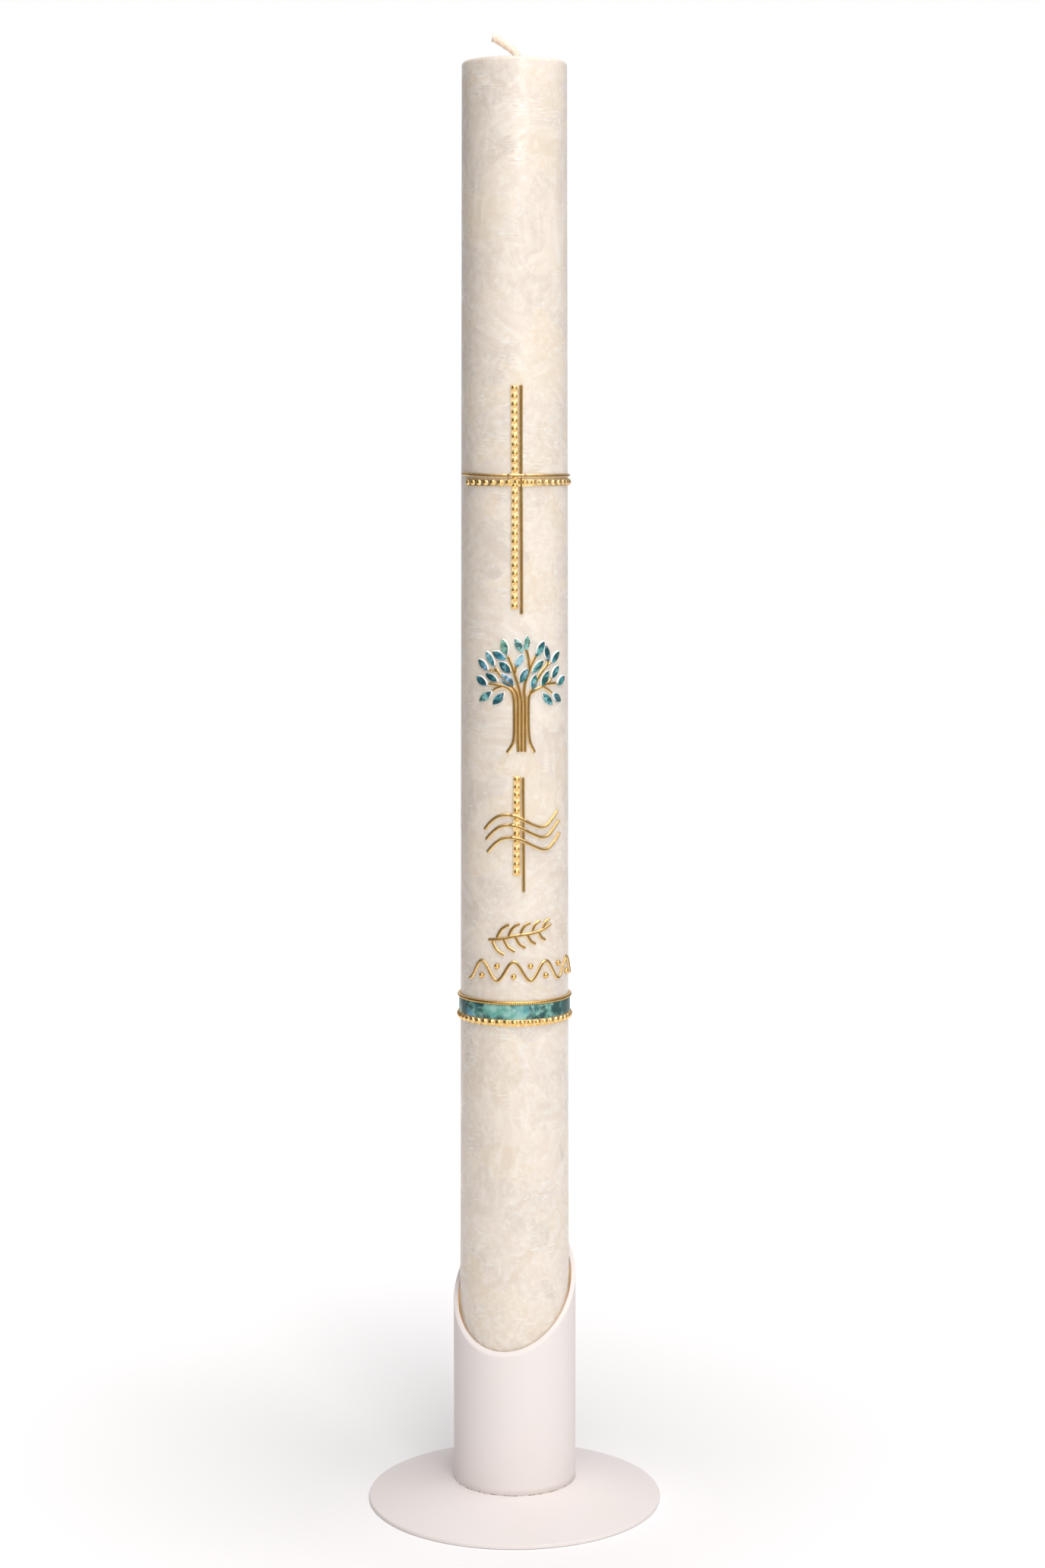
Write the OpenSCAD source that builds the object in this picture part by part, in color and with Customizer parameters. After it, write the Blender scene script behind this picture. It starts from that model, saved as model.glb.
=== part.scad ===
// Decorated ceremony candle standing in a mitre-cut tube holder.
// Millimetres, +Z up, origin at the centre of the base plate's underside.
// The front, which carries the motifs, looks along -Y.
//
// Every motif is laid out flat, as if the wax were unrolled: u is the distance
// round the candle from its front line, positive to the right, and z is the
// height. The functions on_wax() and strip() wrap that layout round the taper.

/* [Holder] */
// Diameter of the round base plate
plate_d = 82; // [70:1:120]
// Thickness of the base plate at its rim
rim_t = 1.1; // [0.9:0.1:2]
// Height of the base plate's raised middle, where tube and candle stand
seat_z = 6; // [4:0.5:8]
// Outer diameter of the holder tube
tube_d = 34.2; // [34:0.1:36]
// Wall of the holder tube
tube_wall = 1.3; // [1:0.1:1.4]
// Height at which the slanting cut crosses the tube's axis
cut_mid_z = 61; // [50:1:80]
// Slope of the cut, from the horizontal
cut_angle = 42.5; // [20:0.5:50]
// How far the cut's low side is turned to the left of the front
cut_turn = 14; // [0:1:45]

/* [Candle] */
// Length of the wax body
candle_l = 393; // [388:0.5:420]
// Diameter at the foot
foot_d = 30.8; // [30:0.1:30.8]
// Diameter at the head, less than the foot because the mould tapers
head_d = 28.5; // [27.6:0.1:29.4]
// Rounding of the head's rim
rim_r = 1.2; // [0.8:0.1:2]
// Bevel round the foot
foot_bevel = 1; // [0.8:0.1:1.5]

/* [Wick] */
// Diameter of the braided wick
wick_d = 2.1; // [1.6:0.1:2.6]
// How far the wick comes up to the right of the axis
wick_off = 0.9; // [0:0.1:1.5]
// Straight rise above the head before the wick bends
wick_rise = 1.5; // [0.8:0.1:3]
// Angle through which the tip is bent to the left
wick_bend = 59; // [20:1:80]
// Length of the bent tip
wick_tip = 6.8; // [4:0.2:10]

/* [Gold wax strips] */
// Width of the plain ribbed strip
wire_w = 1; // [0.8:0.05:1.2]
// Height of the plain ribbed strip
wire_h = 0.75; // [0.5:0.05:1]
// Width of the thin twigs
twig_w = 0.7; // [0.5:0.05:0.9]
// Width of the pearl strip
pearl_w = 2; // [1.8:0.1:2.4]
// Thickness of the pearl strip's flat edge
pearl_edge = 0.35; // [0.25:0.05:0.5]
// Diameter of one pearl
pearl_d = 1.7; // [1.4:0.1:1.8]
// Distance from pearl to pearl
pearl_pitch = 2.1; // [2.1:0.1:3]

/* [Motifs] */
// Foot of the tall cross
cross_z = 251.5; // [250:0.5:255]
// Height of the tall cross
cross_h = 60.2; // [50:0.1:70]
// Height of its cross bar
bar_z = 287.4; // [280:0.1:292]
// Foot of the tree
tree_z = 212.6; // [210:0.1:214]
// Middle of the tree's trunk, to the right of the front line
tree_u = 1.9; // [0:0.1:3]
// Foot of the water cross
water_z = 178.8; // [176:0.1:182]
// Height of the sprig's middle
sprig_z = 162.6; // [162:0.1:166]
// Height of the running scroll's middle
scroll_z = 152.4; // [152:0.1:154]
// Lower edge of the marbled band
band_z = 139.2; // [136:0.1:142]
// Width of the marbled band
band_w = 4; // [3:0.1:5]

/* [Hidden] */
$fn = 96;
tube_r = tube_d / 2;
head_z = seat_z + candle_l;
wick_r = wick_d / 2;
wick_turn_r = 2;       // radius of the wick's bend, along its middle
wick_foot = 1;         // the wick ends this far inside the foot
wick_lap = 0.2;        // the straight parts run this far into the bend
wick_swell = 0.05;     // the braid fattens where it bends
weld_leg = 0.6;        // leg of the weld inside the tube's foot
plate_edge = 0.4;      // rounding of the plate's rim
plate_flat = 0.3;      // the plate's flat middle goes this far past the tube
seat = 0.02;           // skin of adhesive under a wrapped strip
sheet_h = 0.55;        // thickness of the marbled wax sheet
band_h = 0.45;         // thickness of the marbled band
ring_h = 0.9;          // how far the wire ring stands proud
hump_h = 1.15;         // height of a wave where it rides over an upright
cut_reach = 200;       // size of the block that makes the slanting cut
slice = 4;             // steps between two points of a route

// Colours
powder_white = "#f1ecea";
wax_cream = "#f0e6d8";
wick_cream = "#f3dfc0";
gold = "#d8b25c";
steel_grey = "#8d8f92";
teal_light = "#86c6bf";
teal_dark = "#1f6f78";

// Wax radius at height z
function wax_r(z) = (foot_d + (head_d - foot_d) * (z - seat_z) / candle_l) / 2;

// Turn round the axis, in degrees, for a distance u along the wax at height z
function turn(u, z) = u / wax_r(z) * 180 / PI;

// Point at (u, z), standing lift above the wax
function on_wax(u, z, lift = 0) = [
    (wax_r(z) + lift) * sin(turn(u, z)),
    -(wax_r(z) + lift) * cos(turn(u, z)),
    z
];

// Catmull-Rom curve through a route's points
function at(p, i) = p[max(0, min(len(p) - 1, i))];
function curve(p, i, t) =
    let (a = at(p, i - 1), b = at(p, i), c = at(p, i + 1), d = at(p, i + 2))
    0.5 * (2 * b + (c - a) * t + (2 * a - 5 * b + 4 * c - d) * t * t
        + (3 * b - a - 3 * c + d) * t * t * t);
function smooth(p) = [
    for (i = [0:len(p) - 2], k = [0:slice - 1]) curve(p, i, k / slice),
    p[len(p) - 1]
];

// Unit direction of a route at point i, and the same turned a quarter left
function along(p, i) = let (d = at(p, i + 1) - at(p, i - 1)) d / norm(d);
function across(p, i) = let (d = along(p, i)) [-d[1], d[0]];

// A route moved by (du, dz)
function moved(p, by) = [for (q = p) q + by];

// Height of a wave along its length: it rides over whatever lies in [u0, u1]
function ride(u, u0, u1) =
    let (edge = 0.8, gap = max(u0 - u, u - u1, 0))
    wire_h + (hump_h - wire_h) * max(0, 1 - gap / edge);

// Closed strip of width w wrapped along a route; heights holds one height per point
module strip(route, w, heights) {
    n = len(route);
    edge = [for (i = [0:n - 1]) across(route, i) * w / 2];
    points = [
        for (i = [0:n - 1])
            let (a = route[i] + edge[i], b = route[i] - edge[i])
            each [
                on_wax(a[0], a[1], seat), on_wax(b[0], b[1], seat),
                on_wax(b[0], b[1], heights[i]), on_wax(a[0], a[1], heights[i])
            ]
    ];
    sides = [
        for (i = [0:n - 2], k = [0:3])
            let (a = 4 * i + k, b = 4 * i + (k + 1) % 4)
            each [[a, a + 4, b + 4], [a, b + 4, b]]
    ];
    ends = [
        [0, 1, 2], [0, 2, 3],
        [4 * n - 4, 4 * n - 2, 4 * n - 3], [4 * n - 4, 4 * n - 1, 4 * n - 2]
    ];
    polyhedron(points, concat(sides, ends));
}

module wire(points, w = wire_w) {
    route = smooth(points);
    color(gold) strip(route, w, [for (q = route) wire_h]);
}

// The wax, made thicker by a given amount, between two heights
module wax(z0, z1, thick = 0) {
    translate([0, 0, z0])
        cylinder(h = z1 - z0, r1 = wax_r(z0) + thick, r2 = wax_r(z1) + thick);
}

// Flat outline stood up at (u, z) and pushed out through the wax
module pushed(u, z) {
    rotate([0, 0, turn(u, z)])
        translate([0, 0, z])
            rotate([90, 0, 0])
                linear_extrude(height = foot_d) children();
}

// Sheet of the given thickness on the wax, cut to a flat outline centred on (u, z)
module patch(u, z, reach, thick) {
    difference() {
        intersection() {
            wax(z - reach, z + reach, thick);
            pushed(u, z) children();
        }
        wax(z - reach - 1, z + reach + 1);
    }
}

module upright(u, z0, z1) {
    mid = (z0 + z1) / 2;
    color(gold) patch(u, mid, z1 - z0, wire_h) square([wire_w, z1 - z0], center = true);
}

module pearl_ball(u, z) {
    rotate([0, 0, turn(u, z)])
        translate(on_wax(0, z, pearl_edge * 0.7))
            rotate([90, 0, 0]) sphere(d = pearl_d, $fn = 32);
}

// Flat strip with a row of pearls, cut off flush with the wax
module pearl_upright(u, z0, z1) {
    count = floor((z1 - z0) / pearl_pitch);
    mid = (z0 + z1) / 2;
    first = mid - (count - 1) * pearl_pitch / 2;
    color(gold) difference() {
        union() {
            intersection() {
                wax(z0, z1, pearl_edge);
                pushed(u, mid) square([pearl_w, 2 * (z1 - z0)], center = true);
            }
            for (i = [0:count - 1]) pearl_ball(u, first + i * pearl_pitch);
        }
        wax(z0 - 1, z1 + 1);
    }
}

// Part of a ring, between two turns round the axis
module arc_layer(z0, z1, thick, from_a, to_a) {
    inner = wax_r(z0) + seat;
    rotate([0, 0, from_a - 90])
        rotate_extrude(angle = to_a - from_a)
            translate([inner, z0]) square([thick, z1 - z0]);
}

module pearl_arc(z, from_a, to_a, count) {
    color(gold) difference() {
        union() {
            arc_layer(z - pearl_w / 2, z + pearl_w / 2, pearl_edge, from_a, to_a);
            for (i = [0:count - 1])
                rotate([0, 0, from_a + (i + 0.5) * (to_a - from_a) / count]) pearl_ball(0, z);
        }
        wax(z - pearl_w, z + pearl_w);
    }
}

// ---- holder ----

module base_plate() {
    r = plate_d / 2;
    color(powder_white) rotate_extrude($fn = 128) union() {
        polygon([
            [0, 0], [r, 0], [r, rim_t - plate_edge], [r - plate_edge, rim_t],
            [tube_d / 2 + plate_flat, seat_z], [0, seat_z]
        ]);
        translate([r - plate_edge, rim_t - plate_edge]) circle(r = plate_edge);
    }
}

module holder_tube() {
    color(powder_white) difference() {
        translate([0, 0, seat_z]) difference() {
            cylinder(h = 2 * cut_mid_z, r = tube_r);
            translate([0, 0, -1]) cylinder(h = 2 * cut_mid_z + 2, r = tube_r - tube_wall);
        }
        translate([0, 0, cut_mid_z])
            rotate([0, 0, -cut_turn])
                rotate([cut_angle, 0, 0])
                    translate([-cut_reach / 2, -cut_reach / 2, 0]) cube(cut_reach);
    }
}

module weld_bead() {
    color(steel_grey) translate([0, 0, seat_z]) rotate_extrude()
        translate([tube_r - tube_wall, 0])
            polygon([[0, 0], [-weld_leg, 0], [0, weld_leg]]);
}

// ---- candle and wick ----

module candle_body() {
    head_r = head_d / 2;
    foot_r = foot_d / 2;
    color(wax_cream) difference() {
        translate([0, 0, seat_z]) rotate_extrude($fn = 128) union() {
            polygon([
                [0, 0], [foot_r - foot_bevel, 0], [foot_r, foot_bevel],
                [head_r, candle_l - rim_r], [head_r - rim_r, candle_l - rim_r],
                [head_r - rim_r, candle_l], [0, candle_l]
            ]);
            translate([head_r - rim_r, candle_l - rim_r]) circle(r = rim_r);
        }
        translate([wick_off, 0, 0]) cylinder(h = head_z + 1, r = wick_r, $fn = 48);
    }
}

module wick() {
    rise_z = head_z + wick_rise;
    color(wick_cream) translate([wick_off, 0, 0]) union() {
        translate([0, 0, seat_z + wick_foot])
            cylinder(h = rise_z - seat_z - wick_foot + wick_lap, r = wick_r, $fn = 48);
        translate([-wick_turn_r, 0, rise_z]) {
            rotate([90, 0, 0])
                rotate_extrude(angle = wick_bend, $fn = 96)
                    translate([wick_turn_r, 0]) circle(r = wick_r + wick_swell, $fn = 48);
            rotate([0, -wick_bend, 0])
                translate([wick_turn_r, 0, -wick_lap])
                    cylinder(h = wick_tip + wick_lap, r = wick_r, $fn = 48);
        }
    }
}

// ---- tall cross ----

cross_wire_u = 1.85;
bar_left = -71;
bar_right = 96;
bar_pearls_left = -61;
bar_pearls_z = bar_z - 1.8;
cross_top = cross_z + cross_h;

module cross_upright_pearls() {
    pearl_upright(0.1, cross_z, cross_top);
}

module cross_upright_wire() {
    upright(cross_wire_u, cross_z - 1.3, cross_top);
}

module cross_bar_wire() {
    color(gold) arc_layer(bar_z - wire_w / 2, bar_z + wire_w / 2, hump_h, bar_left, bar_right);
}

module cross_bar_pearls() {
    pearl_arc(bar_pearls_z, bar_pearls_left, bar_right - 4, 18);
}

// ---- tree: [du, dz] from the middle of the trunk's foot ----

trunk_routes = [
    [[-3.8, 0], [-3, 1.2], [-2.2, 2.8], [-1.9, 5.5], [-1.9, 11], [-2, 14],
        [-2.4, 15.9], [-3.3, 17.2], [-5.4, 18.1], [-8.9, 18.5]],
    [[-0.85, 0.2], [-0.95, 4], [-0.95, 9], [-0.95, 13.5], [-1.2, 15.8],
        [-2.1, 17.4], [-3.4, 18.7], [-4.9, 20], [-6, 21.3], [-7.1, 22.9]],
    [[0, 0.2], [0, 6], [0, 13], [-0.4, 15.8], [-1.1, 18.8], [-1.9, 21.4],
        [-2.8, 24], [-3.6, 26]],
    [[0.95, 0.2], [0.95, 6], [0.95, 12], [0.85, 15], [0.7, 16.6], [1, 18.7],
        [1.85, 21.3], [2.4, 22.9], [3.1, 24.5], [3.9, 26]],
    [[3.6, 0], [2.7, 1.8], [2.2, 3.4], [1.9, 6.9], [1.9, 13.5], [2.2, 15.6],
        [3.1, 17.3], [4.4, 19.7], [5.7, 21.7], [7.3, 23.5], [7.7, 24.5]]
];
low_branch = [[2.6, 16], [3.4, 16.6], [4.8, 17.3], [7.3, 18.3], [10.6, 18.4]];
fork = [[2.2, 22.8], [1.9, 25.2], [1.3, 27.8]];
centre_twig = [[-1.75, 21.4], [-1.65, 22.4], [-1.5, 23.3]];
left_high_twig = [[-6.4, 21.9], [-7.6, 22.1], [-8.8, 22.3]];
right_high_twig = [[7.3, 23.3], [8, 23.6], [8.6, 24.1]];
right_mid_twig = [[7.3, 18.5], [8.2, 19], [8.8, 19.8]];
right_low_twig = [[6.2, 17.6], [7.6, 16.9], [9, 15.9]];
left_low_twig = [[-5.2, 17.9], [-6.5, 17.5], [-7.7, 16.8]];

module tree_strip(points, w = wire_w) {
    wire(moved(points, [tree_u, tree_z]), w);
}

// Leaves: [du, dz, lean clockwise from upright, length, width]
leaves = [
    [-4.4, 28.7, -14, 4.8, 2.3], [-0.7, 29.2, -28, 4.6, 2.2], [1.4, 30, 5, 4.2, 1.8],
    [-0.6, 25.1, 28, 4.2, 2.1], [5.2, 28.2, 28, 5, 2.2], [7.2, 26.9, -14, 5, 1.9],
    [10.3, 25.7, 45, 4.6, 2.1], [4.4, 23.4, 45, 5, 2], [10.2, 21.7, 38, 4.5, 2.2],
    [12.9, 19.2, 60, 4.2, 2.4], [6.6, 20.1, 28, 5, 2.2], [3.3, 19.1, 10, 4.6, 2.2],
    [0.5, 21, 28, 4.6, 2.2], [-4, 19.8, -42, 5.2, 2.7], [-4.3, 23.3, -45, 4.4, 2.4],
    [-6, 26.5, -60, 4.3, 2.2], [-8.4, 25.5, -32, 4.9, 2], [-10.6, 23.8, -46, 4.5, 2.1],
    [-8, 20.4, -60, 4.1, 2], [-11.1, 19.4, -56, 4.3, 2.3], [-9.9, 15.2, -126, 5, 2.2],
    [-6.1, 14.8, -138, 4.8, 2.3], [7.5, 14.5, 136, 5, 2.2], [10.9, 14.6, 125, 4.2, 2.2]
];

// Pointed leaf: what two equal circles share
module leaf_outline(l, w) {
    r = (l * l + w * w) / (4 * w);
    intersection() {
        translate([r - w / 2, 0]) circle(r = r, $fn = 64);
        translate([w / 2 - r, 0]) circle(r = r, $fn = 64);
    }
}

module leaf(i) {
    p = leaves[i];
    u = tree_u + p[0];
    z = tree_z + p[1];
    color(i % 3 == 0 ? teal_light : teal_dark)
        patch(u, z, p[3], sheet_h) rotate(-p[2]) leaf_outline(p[3], p[4]);
}

// ---- water cross ----

water_u = 0.6;
water_wire_u = 2.4;
water_h = 27.3;
wave_route = [
    [-8.4, 12.6], [-6.6, 14.6], [-4.6, 16.1], [-2.3, 16.7], [0, 16.4], [2.2, 15.4],
    [4.5, 14.2], [7, 13.2], [9, 13.4], [11, 15], [13.3, 17.2]
];

module water_upright_pearls() {
    pearl_upright(water_u, water_z, water_z + water_h);
}

module water_upright_wire() {
    upright(water_wire_u, water_z - 4.4, water_z + water_h - 0.4);
}

module wave(i) {
    shift = [[0, 0], [0.5, -2.8], [0.9, -6.2]][i];
    route = smooth(moved(wave_route, [0, water_z] + shift));
    heights = [for (q = route) ride(q[0], water_u - 1, water_wire_u + 0.5)];
    color(gold) strip(route, wire_w, heights);
}

// ---- sprig: a stem with paired twigs ----

stem_route = [[-7.2, -1.6], [-3.4, -1.2], [0.6, -0.3], [4.6, 0.2], [8, 1], [10.6, 2.4]];
sprig_pairs = 5;

module sprig_stem() {
    wire(moved(stem_route, [0, sprig_z]));
}

module sprig_twigs() {
    for (i = [0:sprig_pairs - 1], side = [-1, 1]) {
        reach = 3.6 - 0.35 * i;
        foot = [-5.4 + 3.2 * i + 0.7 * side, -1.4 + 0.62 * i + side * 0.65];
        bow = foot + [reach * 0.35, side * reach * 0.62];
        tip = foot + [reach * 0.9, side * reach * 0.98];
        wire(moved([foot, bow, tip], [0, sprig_z]));
    }
}

// ---- running scroll: a wave with a bead in each hollow ----

scroll_left = -14;
scroll_period = 9.2;
scroll_count = 4;
scroll_swing = 2.6;

module scroll_wave() {
    steps = 14;
    n = scroll_count * steps;
    route = [
        for (i = [0:n])
            [scroll_left + i * scroll_period / steps, scroll_z - scroll_swing * cos(i * 360 / steps)]
    ];
    color(gold) strip(route, wire_w, [for (q = route) wire_h]);
}

module scroll_beads() {
    for (i = [0:2 * scroll_count - 2]) {
        u = scroll_left + (i + 1) * scroll_period / 2;
        z = scroll_z + (i % 2 == 0 ? -1 : 1) * scroll_swing * 0.55;
        color(gold) difference() {
            pearl_ball(u, z);
            wax(z - pearl_d, z + pearl_d);
        }
    }
}

// ---- marbled band with its two edgings ----

band_pearls = 44;

module band_wire_ring() {
    mid_z = band_z + band_w + wire_w / 2;
    color(gold) rotate_extrude($fn = 128)
        translate([wax_r(mid_z) + seat, mid_z - wire_w / 2]) square([ring_h, wire_w]);
}

module marbled_band() {
    color(teal_light) rotate_extrude($fn = 128)
        translate([wax_r(band_z) + seat, band_z]) square([band_h, band_w]);
}

module band_pearl_ring() {
    mid_z = band_z - pearl_w / 2;
    color(gold) difference() {
        union() {
            wax(mid_z - pearl_w / 2, mid_z + pearl_w / 2, pearl_edge);
            for (i = [0:band_pearls - 1])
                rotate([0, 0, i * 360 / band_pearls]) pearl_ball(0, mid_z);
        }
        wax(mid_z - pearl_w, mid_z + pearl_w);
    }
}

// ---- nodes ----

NODES = [
    "base_plate", "holder_tube", "weld_bead", "candle_body", "wick",
    "cross_upright_pearls", "cross_upright_wire", "cross_bar_wire", "cross_bar_pearls",
    "trunk_strip_1", "trunk_strip_2", "trunk_strip_3", "trunk_strip_4", "trunk_strip_5",
    "branch_low_right", "branch_fork", "twig_centre", "twig_left_high",
    "twig_right_high", "twig_right_mid", "twig_right_low", "twig_left_low",
    "leaf_01", "leaf_02", "leaf_03", "leaf_04", "leaf_05", "leaf_06",
    "leaf_07", "leaf_08", "leaf_09", "leaf_10", "leaf_11", "leaf_12",
    "leaf_13", "leaf_14", "leaf_15", "leaf_16", "leaf_17", "leaf_18",
    "leaf_19", "leaf_20", "leaf_21", "leaf_22", "leaf_23", "leaf_24",
    "water_upright_pearls", "water_upright_wire", "wave_1", "wave_2", "wave_3",
    "sprig_stem", "sprig_twigs", "scroll_wave", "scroll_beads",
    "band_wire_ring", "marbled_band", "band_pearl_ring"
];

// Place of a name in NODES, so that numbered nodes can be picked by a loop
function place(name) = search([name], NODES)[0];

base_plate();
holder_tube();
weld_bead();
candle_body();
wick();
cross_upright_pearls();
cross_upright_wire();
cross_bar_wire();
cross_bar_pearls();
for (i = [0:4])
    tree_strip(trunk_routes[i]);
tree_strip(low_branch);  // branch_low_right
tree_strip(fork);  // branch_fork
tree_strip(centre_twig);  // twig_centre
tree_strip(left_high_twig, twig_w);  // twig_left_high
tree_strip(right_high_twig, twig_w);  // twig_right_high
tree_strip(right_mid_twig, twig_w);  // twig_right_mid
tree_strip(right_low_twig, twig_w);  // twig_right_low
tree_strip(left_low_twig, twig_w);  // twig_left_low
for (i = [0:23])
    leaf(i);
water_upright_pearls();
water_upright_wire();
for (i = [0:2])
    wave(i);
sprig_stem();
sprig_twigs();
scroll_wave();
scroll_beads();
band_wire_ring();
marbled_band();
band_pearl_ring();
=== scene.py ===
"""Looks of the decorated ceremony candle in its slant-cut tube holder.

The candle's ornament is laid out flat, as if the wax were unrolled: u is the distance round the
candle from its front line, positive to the right, and z is the height, both in millimetres.
"""

import math

import bpy
import numpy as np
from bpy.props import FloatProperty, FloatVectorProperty, PointerProperty
from bpy.types import Operator, Panel, PropertyGroup
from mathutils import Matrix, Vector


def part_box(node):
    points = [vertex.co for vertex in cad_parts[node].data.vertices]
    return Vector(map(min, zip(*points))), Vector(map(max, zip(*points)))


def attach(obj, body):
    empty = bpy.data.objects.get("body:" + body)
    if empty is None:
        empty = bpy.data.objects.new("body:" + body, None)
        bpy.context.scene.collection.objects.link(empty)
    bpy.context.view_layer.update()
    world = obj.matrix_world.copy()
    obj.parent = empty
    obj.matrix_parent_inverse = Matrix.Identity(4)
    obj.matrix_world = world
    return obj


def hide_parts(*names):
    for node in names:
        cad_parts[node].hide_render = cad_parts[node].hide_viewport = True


bl_info = {
    "name": "Ceremony candle", "version": (1, 0, 0), "blender": (4, 5, 0),
    "location": "View3D > Sidebar > Candle",
    "description": "Builds the looks of a decorated candle in a tube holder",
    "category": "Add Mesh",
}

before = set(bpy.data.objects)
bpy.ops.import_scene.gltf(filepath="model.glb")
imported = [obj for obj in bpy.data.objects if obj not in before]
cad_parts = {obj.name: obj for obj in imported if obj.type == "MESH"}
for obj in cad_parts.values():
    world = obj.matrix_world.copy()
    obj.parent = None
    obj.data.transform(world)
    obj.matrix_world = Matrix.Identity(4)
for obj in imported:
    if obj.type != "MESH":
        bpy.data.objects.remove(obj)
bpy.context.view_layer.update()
MM = 0.001


def linear(code):
    """Linear RGBA of an sRGB hex colour: each channel c becomes ((c + 0.055) / 1.055) ** 2.4, or
    c / 12.92 in the darkest tones."""
    srgb = np.array([int(code[i : i + 2], 16) for i in (1, 3, 5)]) / 255
    low, high = srgb / 12.92, ((srgb + 0.055) / 1.055) ** 2.4
    return (*np.where(srgb <= 0.04045, low, high).tolist(), 1.0)


# ---- sizes and colours ----


def length_property(name, about, value_mm):
    return FloatProperty(name=name, description=about, default=value_mm * MM, unit="LENGTH", precision=5)


def colour_property(name, about, code):
    return FloatVectorProperty(
        name=name, description=about, default=linear(code), size=4, subtype="COLOR", min=0, max=1
    )


PLATE_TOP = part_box("base_plate")[1].z / MM
CANDLE_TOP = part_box("candle_body")[1].z / MM


class CandleSizes(PropertyGroup):
    """Sizes a maker would change."""

    plate_d: length_property("Plate diameter", "Across the round base plate", 82)
    plate_rim: length_property("Plate rim", "Thickness of the plate at its rim", 1.1)
    tube_d: length_property("Tube diameter", "Outside of the holder tube", 34.2)
    tube_wall: length_property("Tube wall", "Wall of the holder tube", 1.3)
    cut_mid: length_property("Cut height", "Where the slanting cut crosses the axis", 61)
    foot_d: length_property("Candle foot", "Diameter of the candle at its foot", 30.8)
    head_d: length_property("Candle head", "Diameter of the candle at its head", 28.5)
    rim: length_property("Head rounding", "Rounding of the candle's rim", 1.2)
    wick_d: length_property("Wick", "Diameter of the braided wick", 2.1)
    wire_w: length_property("Ribbed strip", "Width of the ribbed gold strip", 1.0)
    wire_h: length_property("Ribbed strip height", "Height of the ribbed strip", 0.75)
    pearl_w: length_property("Pearl strip", "Width of the pearl strip", 2.0)
    pearl_pitch: length_property("Pearl pitch", "From pearl to pearl", 2.1)
    leaf_t: length_property("Leaf thickness", "Thickness of the marbled sheet", 0.55)


class CandleColours(PropertyGroup):
    """Colours a maker would change."""

    powder: colour_property("Powder coat", "Warm white powder coat", "#F3ECEA")
    wax: colour_property("Wax", "Cream wax between the crystals", "#EEE3D6")
    frost: colour_property("Frost", "Crystals that catch the light", "#FAF5EE")
    shade: colour_property("Wax shade", "Deeper, cooler wax", "#E0D5CA")
    warm: colour_property("Warm wax", "Yellower flakes of wax", "#EBDCC4")
    gold: colour_property("Gold", "Gold foil", "#F4CB80")
    gold_pale: colour_property("Pale gold", "Foil on the strip's flat edges", "#FEE6B2")
    # painted shade: this near-black brown goes into the grooves between ribs, for the shade and dark
    # reflections there
    gold_dark: colour_property("Dark gold", "Foil in the grooves between ribs", "#33200A")
    wick: colour_property("Wick", "Waxed cotton", "#F7E6D8")
    teal: colour_property("Teal", "Marbled sheet, middle tone", "#5FA59A")
    teal_dark: colour_property("Dark teal", "Marbled sheet, dark pools", "#0B4A48")
    floor: colour_property("Floor", "Pale floor", "#FAF9F9")


def sizes():
    return bpy.context.scene.candle_sizes


def colours():
    return bpy.context.scene.candle_colours


# ---- shapes ----


def grid_faces(rows, cols, wrap_rows):
    """Quads of a grid whose columns close into a ring, and its rows too if asked."""
    r = np.arange(rows if wrap_rows else rows - 1)
    c = np.arange(cols)
    r, c = np.meshgrid(r, c, indexing="ij")
    down, right = (r + 1) % rows, (c + 1) % cols
    corners = [r * cols + c, down * cols + c, down * cols + right, r * cols + right]
    return np.stack(corners, -1).reshape(-1, 4)


def volume(points, quads):
    """Six times the signed volume inside closed quads: the sum of a . (b x c) over their triangles."""
    a, b, c, d = (points[quads[:, k]] for k in range(4))
    return np.einsum("ij,ij->", a, np.cross(b, c)) + np.einsum("ij,ij->", a, np.cross(c, d))


def skin(name, grid, wrap_rows=False, values=None):
    """Closed mesh over a grid of points, in millimetres. Columns run round each ring; unless the
    rows close too, each end ring is closed by triangles to its mean point. values holds
    attributes, one number or one RGBA colour per grid point."""
    rows, cols, _ = grid.shape
    points = grid.reshape(-1, 3)
    quads = grid_faces(rows, cols, wrap_rows)
    extra = {k: v.reshape(rows * cols, -1) for k, v in (values or {}).items()}
    caps = np.zeros((0, 3), int)
    if not wrap_rows:
        ring = np.arange(cols)
        ends = [ring, ring + (rows - 1) * cols]
        points = np.vstack([points] + [points[e].mean(0) for e in ends])
        extra = {k: np.vstack([v] + [v[e].mean(0) for e in ends]) for k, v in extra.items()}
        first, last = rows * cols, rows * cols + 1
        near = np.stack([np.full(cols, first), ring, np.roll(ring, -1)], -1)
        far = np.stack([np.full(cols, last), np.roll(ends[1], -1), ends[1]], -1)
        caps = np.vstack([near, far])
    as_quads = np.vstack([quads, np.hstack([caps, caps[:, 2:]])])
    if volume(points, as_quads) < 0:
        quads, caps = quads[:, ::-1], caps[:, ::-1]
    mesh = bpy.data.meshes.new(name)
    mesh.from_pydata((points * MM).tolist(), [], quads.tolist() + caps.tolist())
    mesh.polygons.foreach_set(
        "use_smooth", np.concatenate([np.ones(len(quads), bool), np.zeros(len(caps), bool)])
    )
    for key, value in extra.items():
        kind = "FLOAT_COLOR" if value.shape[1] == 4 else "FLOAT"
        attribute = mesh.attributes.new(key, kind, "POINT")
        field = "color" if kind == "FLOAT_COLOR" else "value"
        attribute.data.foreach_set(field, value.astype(np.float32).ravel())
    mesh.update()
    piece = bpy.data.objects.new(name, mesh)
    bpy.context.scene.collection.objects.link(piece)
    return piece


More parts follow.
